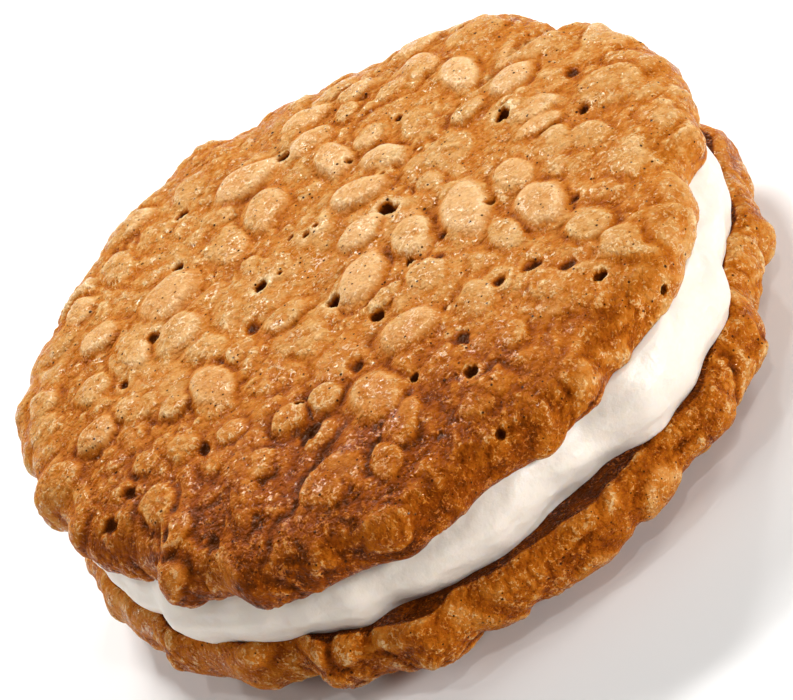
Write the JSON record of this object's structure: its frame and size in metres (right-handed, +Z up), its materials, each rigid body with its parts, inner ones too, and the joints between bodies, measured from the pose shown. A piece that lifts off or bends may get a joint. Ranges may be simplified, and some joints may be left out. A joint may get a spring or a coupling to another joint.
{
  "type": "oatmeal cream pie",
  "caption": "Round sandwich of two soft, lumpy oatmeal cookies with a thick layer of white cream pressed between them, resting flat.",
  "frame": {"origin": "middle of the base, on the surface that the pie lies on", "axes": "+Z up through the layers, -Y towards the side from which the pie is best seen"},
  "size_m": [0.0846, 0.0852, 0.0282],
  "materials": {
    "crust": "baked oat crust, golden tan on the crown and caramel brown at the rim, with a faint sugary gloss",
    "cream": "smooth whipped white cream, satin"
  },
  "bodies": {
    "root": {"top_cookie": "crust", "cream_filling": "cream", "bottom_cookie": "crust"}
  },
  "joints": []
}
